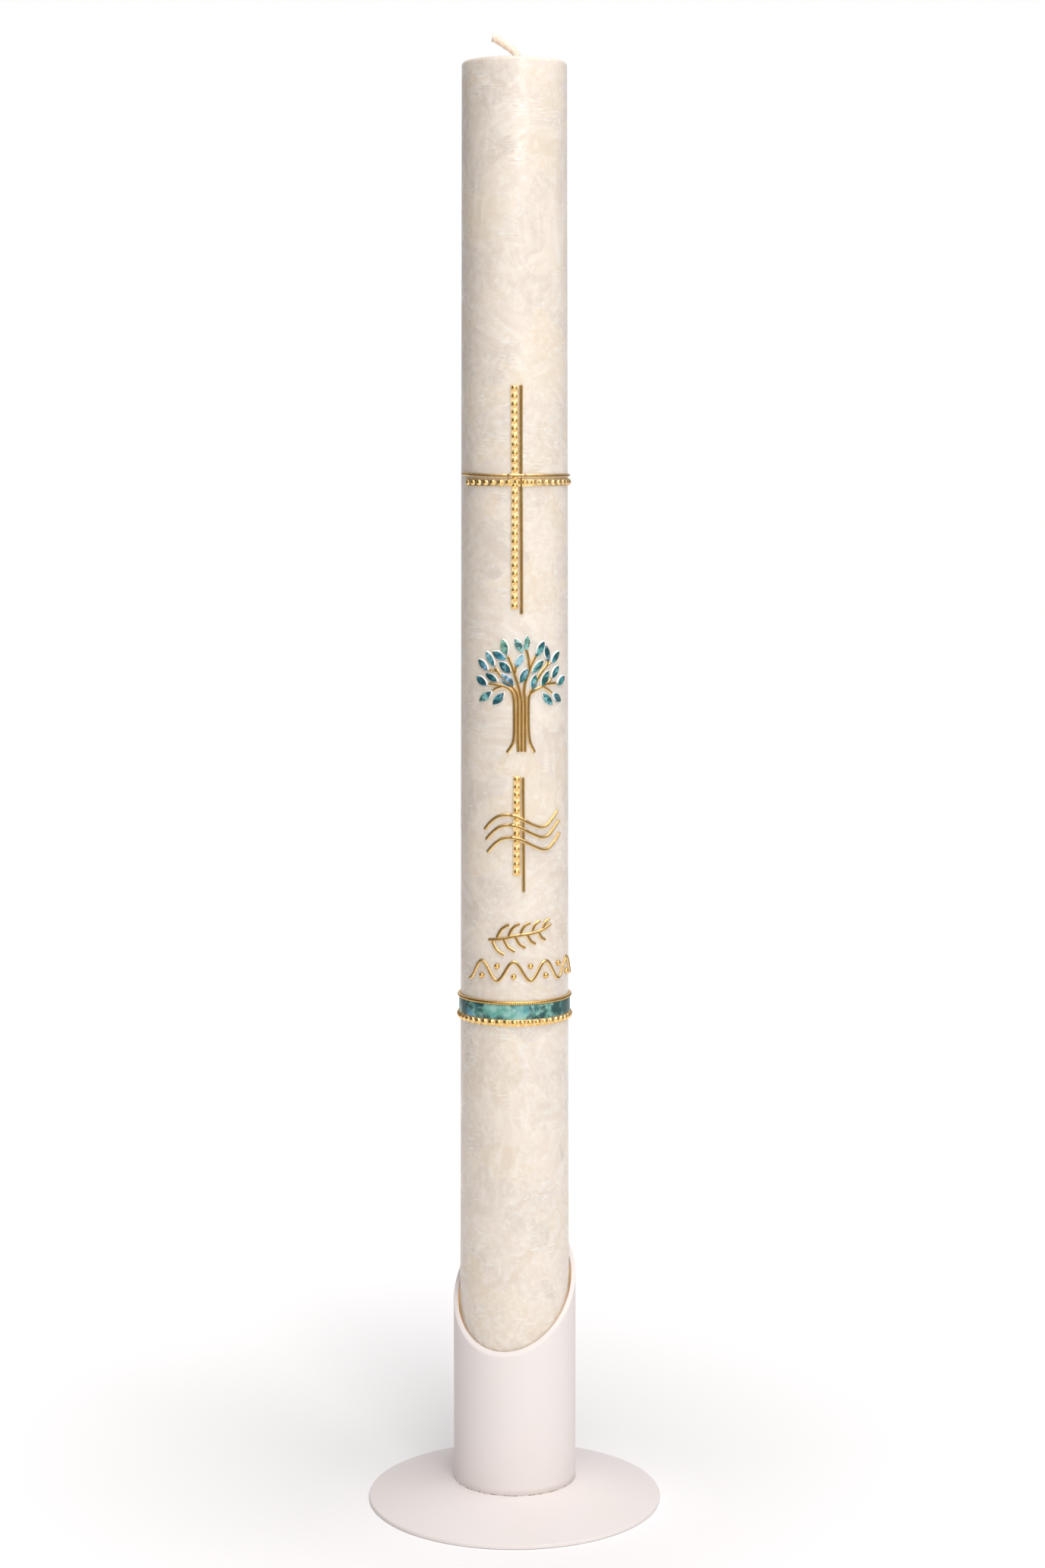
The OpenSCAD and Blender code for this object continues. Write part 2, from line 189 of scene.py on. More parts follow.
def finish_piece(piece, body, slot, material, *nodes):
    """Gives a new piece its material and its body, and hides the CAD nodes it stands for. The slot is not
    used.
    """
    piece.data.materials.append(material)
    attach(piece, body)
    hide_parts(*nodes)
    return piece


def turned(profile, around=192):
    """Surface of revolution: each (radius, height) of the profile goes round the z axis."""
    angle = np.linspace(0, 2 * math.pi, around, endpoint=False)
    radius, height = profile[:, 0][:, None], profile[:, 1][:, None]
    return np.stack([radius * np.sin(angle), -radius * np.cos(angle), height + 0 * angle], -1)


def fillet(centre, radius, start, end, steps=8):
    """Arc of a profile: centre + radius * (cos a, sin a), a from start to end in degrees."""
    a = np.radians(np.linspace(start, end, steps))
    return np.stack([centre[0] + radius * np.cos(a), centre[1] + radius * np.sin(a)], -1)


def wax_radius(z):
    """Radius of the tapering wax at a height: it goes straight from the foot's to the head's."""
    s = sizes()
    share = (z - PLATE_TOP) / (CANDLE_TOP - PLATE_TOP)
    return (s.foot_d + (s.head_d - s.foot_d) * share) / MM / 2


def on_wax(u, z, lift):
    """Point at (u, z) standing lift above the wax: the turn round the axis is u / radius(z)."""
    radius = wax_radius(z)
    turn = u / radius
    return np.stack([(radius + lift) * np.sin(turn), -(radius + lift) * np.cos(turn), z], -1)


def smooth_route(points, step):
    """Catmull-Rom curve through the points, sampled again at equal steps of its length.
    Returns the samples and each one's distance from the start."""
    p = np.array(points, float)
    if len(p) > 2:
        q = np.vstack([p[:1], p, p[-1:]])
        t = np.linspace(0, 1, 24, endpoint=False)[:, None, None]
        a, b, c, d = q[:-3], q[1:-2], q[2:-1], q[3:]
        dense = 0.5 * (
            2 * b + (c - a) * t + (2 * a - 5 * b + 4 * c - d) * t**2 + (3 * b - a - 3 * c + d) * t**3
        )
        p = np.vstack([dense.transpose(1, 0, 2).reshape(-1, 2), p[-1:]])
    gone = np.concatenate([[0], np.cumsum(np.linalg.norm(np.diff(p, axis=0), axis=1))])
    s = np.linspace(0, gone[-1], max(4, int(round(gone[-1] / step)) + 1))
    return np.stack([np.interp(s, gone, p[:, 0]), np.interp(s, gone, p[:, 1])], -1), s


def ribbon(name, route, s, across, height, values):
    """Profile carried along a route on the wax: the point at (s, w) is on_wax(route(s) + w times
    the route's left-hand normal, height(s, w)). across and height are (samples, profile)."""
    d = np.gradient(route, axis=0)
    d /= np.linalg.norm(d, axis=1)[:, None]
    u = route[:, :1] - d[:, 1:] * across
    z = route[:, 1:] + d[:, :1] * across
    return skin(name, on_wax(u, z, height), values=values)


def wobble(s, seed, reach):
    """Slow unevenness of hand-laid strip: a sum of three sines of the distance s, with phases
    from the seed, between about -reach and reach."""
    phase = np.random.default_rng(seed).uniform(0, 2 * math.pi, 3)
    waves = [np.sin(s * k + p) for k, p in zip((0.9, 1.7, 3.1), phase)]
    return reach * (0.5 * waves[0] + 0.3 * waves[1] + 0.2 * waves[2])


RIB_PITCH = 0.42  # real ribs are about 0.28 mm apart: drawn coarser so that they show
RIB_DEPTH = 0.08


def ribbed_strip(name, points, seed, lift=None, width=None):
    """Ribbed gold strip. With w in half widths, its flat edges are 0.4 of its height, and between
    them stands a round crest, h(w) = flat + (high - flat) sqrt(1 - (w / 0.4)^2). Between ribs
    the crest is lower by depth (1 - cos(2 pi s / pitch)) / 2, less towards its sides. lift(u)
    raises the strip where it crosses another. The height is capped."""
    sz = sizes()
    width = width or sz.wire_w / MM
    high = sz.wire_h / MM
    route, s = smooth_route(points, RIB_PITCH / 5)
    edge = np.array([-1, -1, -0.95, -0.86, -0.72])
    crest = np.sin(np.linspace(-0.5, 0.5, 11) * math.pi) * 0.38
    w = np.concatenate([edge, crest, -edge[::-1]])
    flat = 0.4 * high
    round_h = flat + (high - flat) * np.sqrt(np.clip(1 - (crest / 0.4) ** 2, 0, 1))
    side_h = np.array([0.02, 0.6 * flat, 0.86 * flat, 0.97 * flat, flat])
    h = np.concatenate([side_h, round_h, side_h[::-1]])
    is_crest = np.clip((h - flat) / (high - flat), 0, 1)
    groove = (1 - np.cos(2 * math.pi * s / RIB_PITCH)) / 2
    grown = 1 + wobble(s, seed, 0.1)
    height = h * grown[:, None] - RIB_DEPTH * np.outer(groove, np.sqrt(is_crest))
    if lift is not None:
        height = height + lift(route[:, 0])[:, None] * (h > 0.03)
    height = np.minimum(height, high + 0.4 if lift is not None else high * 1.08)
    across = np.tile(w * width / 2, (len(s), 1))
    # the groove attribute also marks where painted shade goes into the grooves between ribs
    values = {
        "crest": np.tile(is_crest, (len(s), 1)),
        "groove": np.outer(0.25 + 0.75 * groove, np.sqrt(is_crest)),
    }
    return ribbon(name, route, s, across, height, values)


PEARL_R = 0.78
PEARL_H = 0.62
PEARL_FOOT = 0.3  # height of a dome's edge
BAND_FLAT = 0.35  # height of the flat band below the domes


def pearl_strip(name, points, first, seed):
    """Pearl strip. Over a flat band 0.35 mm high with a low rim along either edge stands a row of
    domes, h(s, w) = 0.3 + height sqrt(1 - ((s - s0)^2 + w^2) / r^2). They start at first, and
    the pitch is adjusted so that they end as far from the other end."""
    sz = sizes()
    half = sz.pearl_w / MM / 2
    pitch = sz.pearl_pitch / MM
    route, s = smooth_route(points, pitch / 16)
    count = int((s[-1] - first) / pitch + 0.5)
    pitch = (s[-1] - 2 * first) / max(1, count - 1) if count > 1 else pitch
    w = np.concatenate(
        [[-1, -1, -0.97], np.sin(np.linspace(-0.5, 0.5, 25) * math.pi) * 0.92, [0.97, 1, 1]]
    )
    base = np.concatenate([[0.02, 0.22, 0.32], np.full(25, BAND_FLAT), [0.32, 0.22, 0.02]])
    nearest = np.clip(np.round((s - first) / pitch), 0, count - 1) * pitch + first
    off = ((s - nearest)[:, None] ** 2 + (w[None, :] * half) ** 2) / PEARL_R**2
    dome = PEARL_FOOT + PEARL_H * np.sqrt(np.clip(1 - off, 0, 1))
    rim = 0.05 * np.exp(-(((np.abs(w) - 0.9) / 0.05) ** 2))
    height = np.maximum(base + rim, np.where(off < 1, dome, 0))
    is_dome = np.clip((height - BAND_FLAT) / 0.6, 0, 1)
    across = np.tile(w * half, (len(s), 1)) + wobble(s, seed, 0.03)[:, None]
    return ribbon(name, route, s, across, height, {"crest": is_dome, "groove": np.zeros_like(is_dome)})


def around(z, from_deg, to_deg, rise=0.0):
    """Route round the wax at a height, from one azimuth to another. Left of the front line it
    climbs by rise (azimuth / 70 degrees)^2."""
    angle = np.radians(np.linspace(from_deg, to_deg, 25))
    u = angle * wax_radius(z)
    left = np.clip(-angle / math.radians(70), 0, None)
    return np.stack([u, z + rise * left**2], -1)


# ---- materials ----


def add(tree, kind, inputs=None, stops=None, **settings):
    """Adds a shader node, sets its properties and its inputs (by name or number), and links each input
    given as a socket. stops fills a colour ramp with (position, hex colour or grey level)."""
    node = tree.nodes.new("ShaderNode" + kind)
    for key, value in settings.items():
        setattr(node, key, value)
    for key, value in (inputs or {}).items():
        if isinstance(value, bpy.types.NodeSocket):
            tree.links.new(value, node.inputs[key])
        else:
            node.inputs[key].default_value = value
    if stops:
        ramp = node.color_ramp
        while len(ramp.elements) < len(stops):
            ramp.elements.new(0.5)
        for element, (place, shade) in zip(ramp.elements, stops):
            element.position = place
            element.color = (linear(shade) if isinstance(shade, str) else (shade, shade, shade, 1))
    return node


def new_material(name):
    """Empty node material and its tree."""
    material = bpy.data.materials.new(name)
    material.use_nodes = True
    material.node_tree.nodes.clear()
    return material, material.node_tree


def millimetres(tree):
    """Object coordinates counted in millimetres."""
    place = add(tree, "TexCoord").outputs["Object"]
    return add(tree, "VectorMath", {0: place, "Scale": 1000.0}, operation="SCALE").outputs[0]


def surface(tree, inputs):
    """Principled shader with these inputs, joined to the output."""
    shader = add(tree, "BsdfPrincipled", inputs)
    add(tree, "OutputMaterial", {"Surface": shader.outputs[0]})
    return shader


def layered(tree, body, *layers):
    """Colours laid over a first one: each (share, colour) covers that share of what is below."""
    for share, colour in layers:
        body = add(tree, "Mix", {0: share, 6: body, 7: colour}, data_type="RGBA").outputs[2]
    return body


def warped(tree, place, scale, detail, reach):
    """Place pushed about by a smooth noise: place + reach * noise(scale * place)."""
    push = add(tree, "TexNoise", {"Vector": place, "Scale": scale, "Detail": detail}).outputs["Color"]
    push = add(tree, "VectorMath", {0: push, "Scale": reach}, operation="SCALE").outputs[0]
    return add(tree, "VectorMath", {0: place, 1: push}, operation="ADD").outputs[0]


def patches(tree, place, scale, detail, low, high, most=1.0):
    """Share of a cover that lies in soft patches: a noise, drawn out from low to high over the
    range from 0 to most."""
    noise = add(tree, "TexNoise", {"Vector": place, "Scale": scale, "Detail": detail}).outputs["Fac"]
    return add(
        tree, "MapRange", {"Value": noise, "From Min": low, "From Max": high, "To Max": most}
    ).outputs[0]


def crystal_layer(tree, place, cell, long, fine, seed):
    """One layer of wax crystals: cells of the given size with ragged borders, each with straight
    fibres of its own direction, about long by fine mm. Returns the fibres' brightness and the
    cell's random colour."""
    place = add(tree, "VectorMath", {0: place, 1: (seed, seed, seed)}, operation="ADD").outputs[0]
    ragged = warped(tree, place, 0.5, 3.0, cell * 0.9)
    cells = add(tree, "TexVoronoi", {"Vector": ragged, "Scale": 1 / cell})
    turn = add(
        tree, "VectorMath", {0: cells.outputs["Color"], "Scale": 2 * math.pi}, operation="SCALE"
    ).outputs[0]
    turned_place = add(
        tree, "VectorRotate", {"Vector": place, "Rotation": turn}, rotation_type="EULER_XYZ"
    ).outputs[0]
    drawn = add(
        tree, "VectorMath", {0: turned_place, 1: (1 / long, 1 / fine, 1 / fine)}, operation="MULTIPLY"
    ).outputs[0]
    fibres = add(
        tree, "TexNoise", {"Vector": drawn, "Scale": 1.0, "Detail": 3.0, "Roughness": 0.5}
    ).outputs["Fac"]
    return fibres, cells.outputs["Color"]


def stearin_wax():
    """Crystallised stearin wax, cast hot in a cold mould: flakes of crystal about a centimetre
    across, each with its own tone and fibre direction, lie over each other in a cream ground;
    low ledges on their surface catch the light, and short white streaks on them are painted
    glints."""
    col = colours()
    material, tree = new_material("crystallised_stearin_wax")
    place = millimetres(tree)
    broad, broad_cell = crystal_layer(tree, place, 11.0, 14.0, 1.8, 0.0)
    small, small_cell = crystal_layer(tree, place, 5.0, 8.0, 0.6, 40.0)
    bent = warped(tree, place, 0.11, 2.0, 16.0)
    flake = add(
        tree, "TexVoronoi", {"Vector": bent, "Scale": 0.1, "Smoothness": 0.12}, feature="SMOOTH_F1"
    ).outputs["Color"]
    flake = add(tree, "SeparateColor", {0: flake})
    border = add(
        tree, "TexVoronoi", {"Vector": bent, "Scale": 0.1}, feature="DISTANCE_TO_EDGE"
    ).outputs["Distance"]
    tone = add(tree, "TexNoise", {"Vector": place, "Scale": 0.12, "Detail": 3.0}).outputs["Fac"]
    cell_tone = add(tree, "Mix", {0: 0.45, 2: small_cell, 3: broad_cell}, data_type="FLOAT").outputs[0]
    mix_tone = add(tree, "Mix", {0: 0.25, 2: tone, 3: cell_tone}, data_type="FLOAT").outputs[0]
    mix_tone = add(tree, "Mix", {0: 0.35, 2: mix_tone, 3: flake.outputs[0]}, data_type="FLOAT").outputs[0]
    lighter = add(tree, "MapRange", {"Value": mix_tone, "From Min": 0.3, "From Max": 0.7}).outputs[0]
    warm = add(
        tree, "MapRange", {"Value": flake.outputs[1], "From Min": 0.6, "From Max": 1.0, "To Max": 0.6}
    ).outputs[0]
    fibres = add(tree, "Mix", {0: 0.25, 2: broad, 3: small}, data_type="FLOAT").outputs[0]
    frosted = add(
        tree, "MapRange", {"Value": fibres, "From Min": 0.42, "From Max": 0.68, "To Max": 0.55}
    ).outputs[0]
    rim = add(
        tree, "MapRange", {"Value": border, "From Max": 0.045, "To Min": 0.2, "To Max": 0.0}
    ).outputs[0]
    flat = add(tree, "VectorMath", {0: place, 1: (0.3, 0.3, 1.7)}, operation="MULTIPLY").outputs[0]
    ledges = add(tree, "TexNoise", {"Vector": flat, "Scale": 1.0, "Detail": 1.0}).outputs["Fac"]
    ledged = patches(tree, place, 0.13, 1.0, 0.53, 0.63)
    # painted glint: short near-white streaks laid into the colour on the ledged patches
    painted_glint = add(
        tree, "MapRange", {"Value": ledges, "From Min": 0.6, "From Max": 0.7, "To Max": 0.45}
    ).outputs[0]
    painted_glint = add(tree, "Math", {0: painted_glint, 1: ledged}, operation="MULTIPLY").outputs[0]
    body = layered(
        tree,
        col.shade,
        (lighter, col.wax),
        (warm, col.warm),
        (frosted, col.frost),
        (rim, col.frost),
        (painted_glint, linear("#FFFEFA")),
    )
    relief = add(tree, "Bump", {"Height": fibres, "Strength": 0.2, "Distance": 0.00025}).outputs[0]
    relief = add(
        tree, "Bump", {"Height": ledges, "Strength": ledged, "Distance": 0.00012, "Normal": relief}
    ).outputs[0]
    gloss = add(tree, "MapRange", {"Value": ledged, "To Min": 0.36, "To Max": 0.26}).outputs[0]
    surface(
        tree,
        {
            "Base Color": body, "Roughness": gloss, "Normal": relief, "IOR": 1.4,
            "Subsurface Weight": 0.3, "Subsurface Radius": (1.0, 0.75, 0.5),
            "Subsurface Scale": 0.003, "Specular IOR Level": 0.6,
        },
    )
    return material


def gold_foil():
    """Gold foil on wax strip: the crest is burnished bright, the flat edges stay paler and
    duller, and pressing by thumb leaves it slightly uneven. Painted shade: the groove attribute
    lays a near-black brown into the grooves between ribs."""
    col = colours()
    material, tree = new_material("gold_foil_strip")
    place = millimetres(tree)
    crest = add(tree, "Attribute", attribute_name="crest").outputs["Fac"]
    groove = add(tree, "Attribute", attribute_name="groove").outputs["Fac"]
    dent = add(tree, "TexNoise", {"Vector": place, "Scale": 3.2, "Detail": 2.0}).outputs["Fac"]
    worn = patches(tree, place, 0.9, 3.0, 0.35, 0.7, 0.35)
    # painted shade in the grooves between ribs, through the groove attribute
    tint = layered(
        tree, col.gold_pale, (crest, col.gold), (worn, linear("#DEA856")), (groove, col.gold_dark)
    )
    relief = add(tree, "Bump", {"Height": dent, "Strength": 0.4, "Distance": 0.0002}).outputs[0]
    gloss = add(
        tree, "MapRange", {"Value": crest, "From Max": 0.5, "To Min": 0.42, "To Max": 0.3}
    ).outputs[0]
    surface(tree, {"Base Color": tint, "Metallic": 1.0, "Roughness": gloss, "Normal": relief})
    return material


def marble(tree, place, scale):
    """Pools of dye on a wax sheet: how deep the dye lies, and a fine granulation."""
    moved = warped(tree, place, 0.35 * scale, 3.0, 3.2)
    depth = add(
        tree, "TexNoise", {"Vector": moved, "Scale": 0.3 * scale, "Detail": 5.0, "Roughness": 0.6}
    ).outputs["Fac"]
    grain = add(tree, "TexNoise", {"Vector": place, "Scale": 5.0, "Detail": 3.0}).outputs["Fac"]
    return depth, grain


def leaf_sheet():
    """Marbled wax sheet for leaves: dye pools on a white ground, which shows where it is cut."""
    material, tree = new_material("marbled_leaf_sheet")
    place = millimetres(tree)
    depth, grain = marble(tree, place, 1.7)
    tint = add(tree, "Attribute", attribute_name="tint").outputs["Color"]
    white = add(tree, "Attribute", attribute_name="cut").outputs["Fac"]
    deep = add(
        tree, "MapRange", {"Value": depth, "From Min": 0.45, "From Max": 0.57, "To Max": 0.92}
    ).outputs[0]
    pale = add(
        tree, "MapRange", {"Value": depth, "From Min": 0.46, "From Max": 0.34, "To Max": 0.6}
    ).outputs[0]
    speck = add(
        tree, "MapRange", {"Value": grain, "From Min": 0.54, "From Max": 0.7, "To Max": 0.3}
    ).outputs[0]
    body = layered(
        tree,
        tint,
        (deep, linear("#0A444C")),
        (pale, linear("#A9D3E2")),
        (speck, linear("#124E58")),
        (white, linear("#FBF7F2")),
    )
    relief = add(tree, "Bump", {"Height": grain, "Strength": 0.15, "Distance": 0.0001}).outputs[0]
    surface(
        tree,
        {
            "Base Color": body, "Roughness": 0.42, "Normal": relief, "Subsurface Weight": 0.1,
            "Subsurface Radius": (0.6, 0.8, 0.8), "Subsurface Scale": 0.0006,
        },
    )
    return material


def band_sheet():
    """Marbled wax sheet for the band: pale teal, clouded lighter, with blue pools and broad
    soft-edged dark green ones."""
    col = colours()
    material, tree = new_material("marbled_band_sheet")
    place = millimetres(tree)
    depth, grain = marble(tree, place, 0.55)
    cloud = patches(tree, place, 0.45, 3.0, 0.4, 0.62)
    blue = patches(tree, place, 0.14, 2.0, 0.5, 0.64, 0.8)
    dark = add(
        tree,
        "ValToRGB",
        {"Fac": depth},
        stops=[(0.0, 0.0), (0.46, 0.0), (0.52, 0.65), (0.57, 1.0), (1.0, 1.0)],
    ).outputs["Color"]
    speck = add(
        tree, "MapRange", {"Value": grain, "From Min": 0.55, "From Max": 0.72, "To Max": 0.25}
    ).outputs[0]
    body = layered(
        tree,
        col.teal,
        (cloud, linear("#98C9BF")),
        (blue, linear("#4C9CC0")),
        (dark, col.teal_dark),
        (speck, linear("#DCEFE9")),
    )
    relief = add(tree, "Bump", {"Height": grain, "Strength": 0.15, "Distance": 0.0001}).outputs[0]
    surface(tree, {"Base Color": body, "Roughness": 0.38, "Normal": relief})
    return material


def powder_coat():
    """White polyester powder coat, baked on steel: satin, with a very fine orange peel. Dark
    pinholes show along the joint of tube and plate, where the powder didn't reach. Inside the
    tube, near its lip, a faint glow (the attribute) stands for light that comes through the wax."""
    col = colours()
    material, tree = new_material("white_powder_coat")
    place = millimetres(tree)
    peel = add(tree, "TexNoise", {"Vector": place, "Scale": 1.6, "Detail": 4.0}).outputs["Fac"]
    warm = patches(tree, place, 0.05, 2.0, 0.35, 0.65, 0.35)
    height = add(tree, "SeparateXYZ", {0: place}).outputs["Z"]
    low = add(
        tree, "MapRange", {"Value": height, "From Min": PLATE_TOP + 0.22, "From Max": PLATE_TOP + 0.12}
    ).outputs[0]
    beyond = add(tree, "Math", {0: height, 1: PLATE_TOP + 0.005}, operation="GREATER_THAN").outputs[0]
    holes = patches(tree, place, 1.1, 1.0, 0.46, 0.54)
    pit = add(tree, "Math", {0: low, 1: beyond}, operation="MULTIPLY").outputs[0]
    pit = add(tree, "Math", {0: pit, 1: holes}, operation="MULTIPLY").outputs[0]
    body = layered(tree, col.powder, (warm, linear("#F0E9E3")), (pit, linear("#8C8272")))
    relief = add(tree, "Bump", {"Height": peel, "Strength": 0.12, "Distance": 0.0002}).outputs[0]
    surface(
        tree,
        {
            "Base Color": body, "Roughness": 0.55, "Normal": relief, "Specular IOR Level": 0.3,
            "Emission Color": linear("#957B54"),
            "Emission Strength": add(tree, "Attribute", attribute_name="glow").outputs["Fac"],
        },
    )
    return material


def waxed_cotton():
    """Braided cotton wick dipped in wax: peachy cream, the braid half filled."""
    col = colours()
    material, tree = new_material("waxed_braided_cotton")
    place = millimetres(tree)
    plait = add(tree, "Attribute", attribute_name="groove").outputs["Fac"]
    fluff = add(tree, "TexNoise", {"Vector": place, "Scale": 2.4, "Detail": 3.0}).outputs["Fac"]
    body = add(
        tree,
        "Mix",
        {
            0: add(tree, "Math", {0: plait, 1: 0.5}, operation="MULTIPLY").outputs[0], 6: col.wick,
            7: linear("#EFD3B6"),
        },
        data_type="RGBA",
    ).outputs[2]
    relief = add(tree, "Bump", {"Height": fluff, "Strength": 0.3, "Distance": 0.0002}).outputs[0]
    surface(
        tree,
        {
            "Base Color": body, "Roughness": 0.5, "Normal": relief, "Subsurface Weight": 0.4,
            "Subsurface Radius": (1.0, 0.8, 0.5), "Subsurface Scale": 0.001, "Sheen Weight": 0.1,
        },
    )
    return material


def studio_floor():
    """Matte white acrylic table, lit from below: weakly under the object, more towards its
    edges, so that it stays white where less light falls on it. It gives other surfaces 0.8 of
    the glow that the camera sees."""
    col = colours()
    material, tree = new_material("matte_white_acrylic")
    place = millimetres(tree)
    cloud = add(tree, "TexNoise", {"Vector": place, "Scale": 0.01, "Detail": 2.0}).outputs["Fac"]
    body = add(tree, "Mix", {0: cloud, 6: col.floor, 7: linear("#F8F7F8")}, data_type="RGBA").outputs[2]
    away = add(tree, "VectorMath", {0: place}, operation="LENGTH").outputs["Value"]
    glow = add(
        tree,
        "MapRange",
        {"Value": away, "From Min": 60.0, "From Max": 450.0, "To Min": 0.08, "To Max": 0.7},
    ).outputs[0]
    seen = add(
        tree, "MapRange", {"Value": add(tree, "LightPath").outputs["Is Camera Ray"], "To Min": 0.8}
    ).outputs[0]
    glow = add(tree, "Math", {0: glow, 1: seen}, operation="MULTIPLY").outputs[0]
    surface(
        tree,
        {
            "Base Color": body, "Roughness": 0.8, "Specular IOR Level": 0.1,
            "Emission Color": (1, 1, 1, 1), "Emission Strength": glow,
        },
    )
    return material


def shared(maker):
    """The maker's material, made once."""
    made = {
        "stearin_wax": "crystallised_stearin_wax", "gold_foil": "gold_foil_strip",
        "leaf_sheet": "marbled_leaf_sheet", "band_sheet": "marbled_band_sheet",
        "powder_coat": "white_powder_coat", "waxed_cotton": "waxed_braided_cotton",
    }
    return bpy.data.materials.get(made[maker.__name__]) or maker()


# ---- holder ----

CUT_SLOPE = 42.5  # degrees, of the tube's slanting cut
CUT_TURN = 14  # degrees from the back towards the right, where the cut is highest


class MakePlate(Operator):
    """Round steel plate turned from its profile: flat underneath, a thin softened rim, a straight
    shallow rise from the rim to just outside the tube and a flat middle"""

    bl_idname = "ceremony_candle.plate"
    bl_label = "Base plate"

    def execute(self, context):
        s = sizes()
        radius, rim, top, soft = s.plate_d / MM / 2, s.plate_rim / MM, PLATE_TOP, 0.4
        middle = s.tube_d / MM / 2 + 0.3
        under = np.linspace(0.5, radius - 0.3, 12)
        share = np.linspace(0, 1, 14)[1:-1, None]
        rise = (1 - share) * [radius - soft, rim] + share * [middle, top]
        seat = np.linspace(middle, 0.5, 8)
        profile = np.vstack(
            [
                np.stack([under, 0 * under], -1), fillet((radius - 0.3, 0.3), 0.3, -90, 0, 5),
                fillet((radius - soft, rim - soft), soft, 0, 80, 8), rise,
                np.stack([seat, 0 * seat + top], -1),
            ]
        )
        piece = skin("powder_coated_plate", turned(profile))
        finish_piece(piece, "holder", "powder_coat", shared(powder_coat), "base_plate")
        return {"FINISHED"}


class MakeTube(Operator):
    """Steel tube cut off at a slant: outer wall, rounded lip and inner wall. At the turn a the
    wall ends at z = mid + tan(slope) * r * cos(a - high side)"""

    bl_idname = "ceremony_candle.tube"
    bl_label = "Holder tube"

    def execute(self, context):
        s = sizes()
        outer = s.tube_d / MM / 2
        inner = outer - s.tube_wall / MM
        soft = 0.35
        lip = np.vstack(
            [
                fillet((outer - soft, -soft), soft, 0, 90, 7),
                fillet((inner + soft, -soft), soft, 90, 180, 7),
            ]
        )
        rows = 23
        share = np.linspace(0, 1, rows + 1)[:-1]
        radius = np.concatenate([np.full(rows, outer), lip[:, 0], np.full(rows, inner)])
        down = np.concatenate([np.zeros(rows), -lip[:, 1], np.zeros(rows)])
        share = np.concatenate([share, np.ones(len(lip)), share[::-1]])
        a = np.linspace(0, 2 * math.pi, 192, endpoint=False)
        slope, turn = math.tan(math.radians(CUT_SLOPE)), math.radians(CUT_TURN)
        x, y = np.outer(radius, np.sin(a)), -np.outer(radius, np.cos(a))
        top = s.cut_mid / MM + slope * (x * math.sin(turn) + y * math.cos(turn))
        top = top - down[:, None]
        z = PLATE_TOP + (top - PLATE_TOP) * share[:, None]
        glow = np.zeros_like(z)
        glow[-rows:] = share[-rows:, None] ** 4
        piece = skin("powder_coated_tube", np.stack([x, y, z], -1), True, {"glow": glow})
        finish_piece(piece, "holder", "powder_coat", shared(powder_coat), "holder_tube")
        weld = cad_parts["weld_bead"]
        weld.data.materials.clear()
        weld.data.materials.append(shared(powder_coat))
        return {"FINISHED"}


# ---- candle and wick ----


class MakeCandle(Operator):
    """Tapering wax body with a rounded head, turned from its profile. The head's top dips
    slightly and rises again round the wick"""

    bl_idname = "ceremony_candle.candle"
    bl_label = "Candle"

    def execute(self, context):
        s = sizes()
        head, foot, rim = s.head_d / MM / 2, s.foot_d / MM / 2, s.rim / MM
        side = np.linspace(PLATE_TOP + 1, CANDLE_TOP - rim, 60)
        crown = np.linspace(head - rim, 0.6, 24)
        dip = 0.35 * np.sin(np.pi * np.clip((head - rim - crown) / (head - rim - 1.5), 0, 1))
        profile = np.vstack(
            [
                [[0.5, PLATE_TOP], [foot - 1, PLATE_TOP]], np.stack([wax_radius(side), side], -1),
                fillet((head - rim, CANDLE_TOP - rim), rim, 8, 82, 8),
                np.stack([crown, CANDLE_TOP - dip], -1),
            ]
        )
        piece = skin("wax_candle", turned(profile))
        finish_piece(piece, "candle", "wax", shared(stearin_wax), "candle_body")
        return {"FINISHED"}


class MakeWick(Operator):
    """Braided wick: a tube round a bent line, whose radius is
    r0 (1 + 0.03 cos(4 a + k s) + 0.03 cos(4 a - k s)), and fatter by 0.14 r0 near the cut tip"""

    bl_idname = "ceremony_candle.wick"
    bl_label = "Wick"

    def execute(self, context):
        top = CANDLE_TOP
        points = [
            (0.9, top - 3), (0.9, top + 0.4), (0.55, top + 1.9), (-0.6, top + 3.2),
            (-2.5, top + 4.5), (-4.2, top + 5.6), (-5.2, top + 6.25), (-5.95, top + 6.5),
        ]
        route, s = smooth_route(points, 0.12)
        d = np.gradient(route, axis=0)
        d /= np.linalg.norm(d, axis=1)[:, None]
        a = np.linspace(0, 2 * math.pi, 40, endpoint=False)
        tip = np.exp(-(((s - s[-1] + 0.6) / 0.9) ** 2))
        plait = 0.5 * np.cos(4 * a + 2.9 * s[:, None]) + 0.5 * np.cos(4 * a - 2.9 * s[:, None])
        radius = sizes().wick_d / MM / 2 * (1 + 0.06 * plait + 0.14 * tip[:, None])
        out = radius * np.cos(a)
        x = route[:, :1] + d[:, 1:] * out
        z = route[:, 1:] - d[:, :1] * out
        y = radius * np.sin(a)
        piece = skin("braided_wick", np.stack([x, y, z], -1), values={"groove": np.clip(-plait, 0, 1)})
        finish_piece(piece, "candle", "wick", shared(waxed_cotton), "wick")
        return {"FINISHED"}


# ---- ornament ----

CROSS_FOOT, CROSS_HEAD, BAR_Z = 251.5, 311.7, 287.4
TREE = np.array([1.9, 212.6])
WATER_FOOT, WATER_HEAD = 178.8, 206.1
SPRIG_Z, SCROLL_Z = 162.6, 152.4
BAND_Z, BAND_W = 139.2, 4.0
RING_PEARL_R, RING_PEARL_H = 0.9, 0.75

